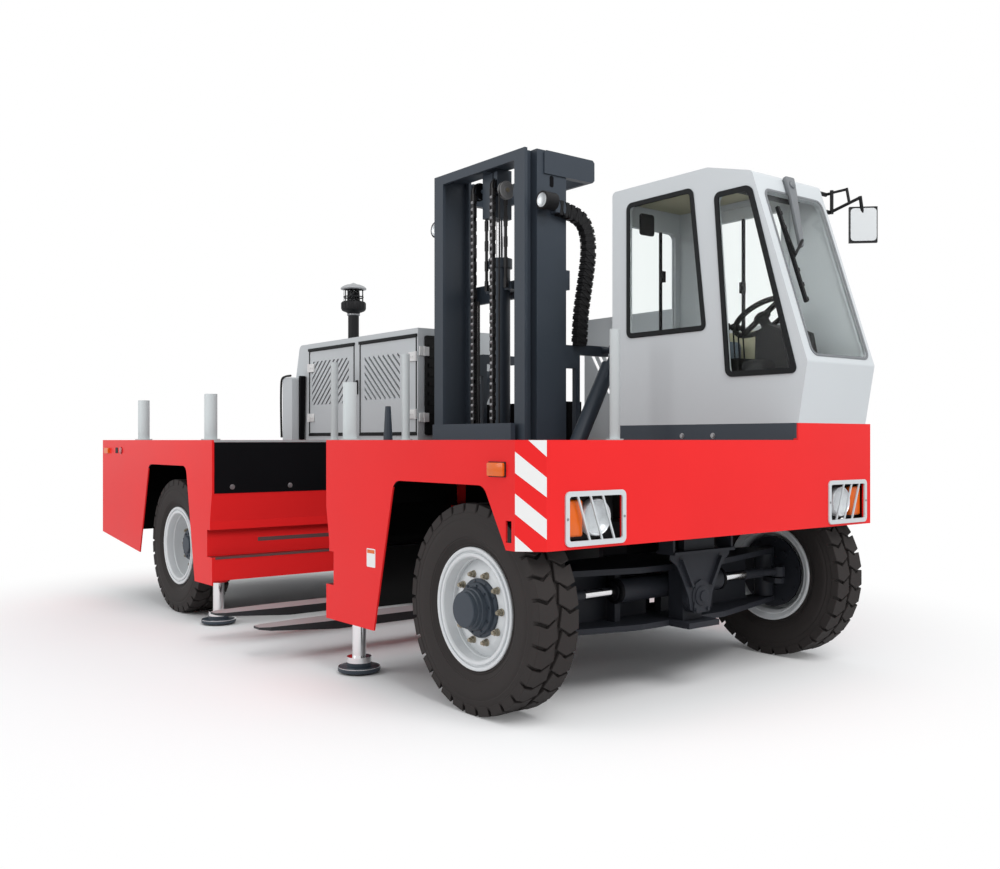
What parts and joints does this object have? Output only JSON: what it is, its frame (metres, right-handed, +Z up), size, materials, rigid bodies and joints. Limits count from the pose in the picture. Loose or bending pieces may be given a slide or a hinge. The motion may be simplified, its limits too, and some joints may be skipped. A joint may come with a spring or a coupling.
{
  "type": "side loader forklift",
  "caption": "Side loader forklift with a reaching, tilting two-stage mast in a well between two decks, side cab, engine hood, steered front axle and two jacks.",
  "frame": {"origin": "on the ground under the middle of the machine's overall box", "axes": "+X forward to the cab end, +Y to the side away from the load, +Z up"},
  "size_m": [5.9191, 3.05, 3.367],
  "materials": {
    "red_paint": "gloss",
    "white_paint": "gloss",
    "slate_paint": "satin",
    "black_paint": "satin",
    "engine_paint": "matte",
    "rim_paint": "gloss",
    "tyre_rubber": "matte",
    "bright_rod": "polished",
    "clear_glass": "polished",
    "seat_vinyl": "satin",
    "black_plastic": "matte",
    "lamp_lens": "gloss",
    "chain_steel": "satin",
    "fork_steel": "satin"
  },
  "bodies": {
    "root": {"front_body": "red_paint", "rear_body": "red_paint", "chassis_frame": "red_paint", "front_axle": "slate_paint", "axle_hangers": "slate_paint", "steering_barrel": "slate_paint", "rear_axle": "slate_paint", "cab_shell": "white_paint", "cab_base": "slate_paint", "cab_glass": "clear_glass", "cab_seat": "seat_vinyl", "cab_controls": "black_plastic", "engine_hood": "white_paint", "engine_block": "engine_paint", "air_intake": "black_plastic", "side_guard": "white_paint", "hydraulic_tank": "black_paint", "stakes": "white_paint", "lamp_bezels": "white_paint", "head_lamps": "lamp_lens", "mirror": "black_plastic", "reach_cylinder": "black_paint", "tow_jaw": "black_paint", "rear_console": "white_paint", "console_column": "black_paint", "deck_post": "slate_paint"},
    "knuckle_right": {"knuckle_right": "slate_paint"},
    "knuckle_left": {"knuckle_left": "slate_paint"},
    "wheel_front_right": {"rim_front_right": "rim_paint", "tyre_front_right": "tyre_rubber"},
    "wheel_front_left": {"rim_front_left": "rim_paint", "tyre_front_left": "tyre_rubber"},
    "wheel_rear_right": {"rim_rear_right": "rim_paint", "tyre_rear_right": "tyre_rubber"},
    "wheel_rear_left": {"rim_rear_left": "rim_paint", "tyre_rear_left": "tyre_rubber"},
    "steering_rod": {"steering_rod": "bright_rod"},
    "reach_carriage": {"reach_carriage": "slate_paint", "reach_rod": "bright_rod"},
    "mast_outer": {"mast_outer": "slate_paint", "lift_cylinder": "slate_paint", "hose_guard": "black_plastic", "work_lamps": "black_plastic"},
    "mast_inner": {"mast_inner": "slate_paint", "lift_rod": "bright_rod", "lift_chains": "chain_steel"},
    "fork_carriage": {"fork_carriage": "slate_paint", "forks": "fork_steel"},
    "tilt_barrels": {"tilt_barrels": "slate_paint"},
    "tilt_rods": {"tilt_rods": "bright_rod"},
    "jack_front": {"jack_front": "bright_rod"},
    "jack_rear": {"jack_rear": "bright_rod"},
    "cab_door": {"cab_door": "white_paint", "cab_door_glass": "clear_glass"},
    "hood_door_front": {"hood_door_front": "white_paint"},
    "hood_door_rear": {"hood_door_rear": "white_paint"}
  },
  "joints": [
    {"name": "steer_right", "type": "hinge", "parent": "root", "child": "knuckle_right", "pos_m": [2.38, -0.993, 0.4975], "axis": [0, 0, 1], "range_deg": [-32, 32]},
    {"name": "steer_left", "type": "hinge", "parent": "root", "child": "knuckle_left", "pos_m": [2.38, 0.993, 0.4975], "axis": [0, 0, 1], "range_deg": [-32, 32]},
    {"name": "steer_rod", "type": "slide", "parent": "root", "child": "steering_rod", "axis": [0, 1, 0], "range_m": [-0.084, 0.084]},
    {"name": "roll_front_right", "type": "hinge", "parent": "knuckle_right", "child": "wheel_front_right", "pos_m": [2.38, -1.138, 0.509], "axis": [0, 1, 0], "continuous": true},
    {"name": "roll_front_left", "type": "hinge", "parent": "knuckle_left", "child": "wheel_front_left", "pos_m": [2.38, 1.138, 0.509], "axis": [0, 1, 0], "continuous": true},
    {"name": "roll_rear_right", "type": "hinge", "parent": "root", "child": "wheel_rear_right", "pos_m": [-1.4, -1.138, 0.509], "axis": [0, 1, 0], "continuous": true},
    {"name": "roll_rear_left", "type": "hinge", "parent": "root", "child": "wheel_rear_left", "pos_m": [-1.4, 1.138, 0.509], "axis": [0, 1, 0], "continuous": true},
    {"name": "reach", "type": "slide", "parent": "root", "child": "reach_carriage", "axis": [0, -1, 0], "range_m": [0, 1.2]},
    {"name": "mast_tilt", "type": "hinge", "parent": "reach_carriage", "child": "mast_outer", "pos_m": [0.265, 0.735, 0.38], "axis": [1, 0, 0], "range_deg": [-3, 3]},
    {"name": "mast_lift", "type": "slide", "parent": "mast_outer", "child": "mast_inner", "axis": [0, 0, 1], "range_m": [-0.025, 1.67]},
    {"name": "fork_lift", "type": "slide", "parent": "mast_inner", "child": "fork_carriage", "axis": [0, 0, 1], "range_m": [-0.025, 1.67]},
    {"name": "tilt_barrel", "type": "hinge", "parent": "reach_carriage", "child": "tilt_barrels", "pos_m": [0.265, 0.4, 0.68], "axis": [1, 0, 0], "range_deg": [-3.25, 3.25]},
    {"name": "tilt_rod", "type": "slide", "parent": "tilt_barrels", "child": "tilt_rods", "axis": [0, 0.4871, 0.8734], "range_m": [-0.0235, 0.0235]},
    {"name": "jack_front", "type": "slide", "parent": "root", "child": "jack_front", "axis": [0, 0, 1], "range_m": [-0.01, 0.2]},
    {"name": "jack_rear", "type": "slide", "parent": "root", "child": "jack_rear", "axis": [0, 0, 1], "range_m": [-0.01, 0.2]},
    {"name": "cab_door", "type": "hinge", "parent": "root", "child": "cab_door", "pos_m": [1.695, 1.284, 2.1], "axis": [0, 0, 1], "range_deg": [0, 100]},
    {"name": "hood_door_rear", "type": "hinge", "parent": "root", "child": "hood_door_rear", "pos_m": [-2.64, 0.526, 1.78], "axis": [0, 0, -1], "range_deg": [0, 100]},
    {"name": "hood_door_front", "type": "hinge", "parent": "root", "child": "hood_door_front", "pos_m": [-0.772, 0.526, 1.78], "axis": [0, 0, 1], "range_deg": [0, 100]}
  ],
  "couplings": [
    {"joint": "steer_left", "follows": "steer_right", "ratio": 1},
    {"joint": "steer_rod", "follows": "steer_right", "m_per_rad": 0.15},
    {"joint": "fork_lift", "follows": "mast_lift", "ratio": 1},
    {"joint": "tilt_barrel", "follows": "mast_tilt", "ratio": 1.0664},
    {"joint": "tilt_rod", "follows": "mast_tilt", "m_per_rad": -0.4387}
  ]
}
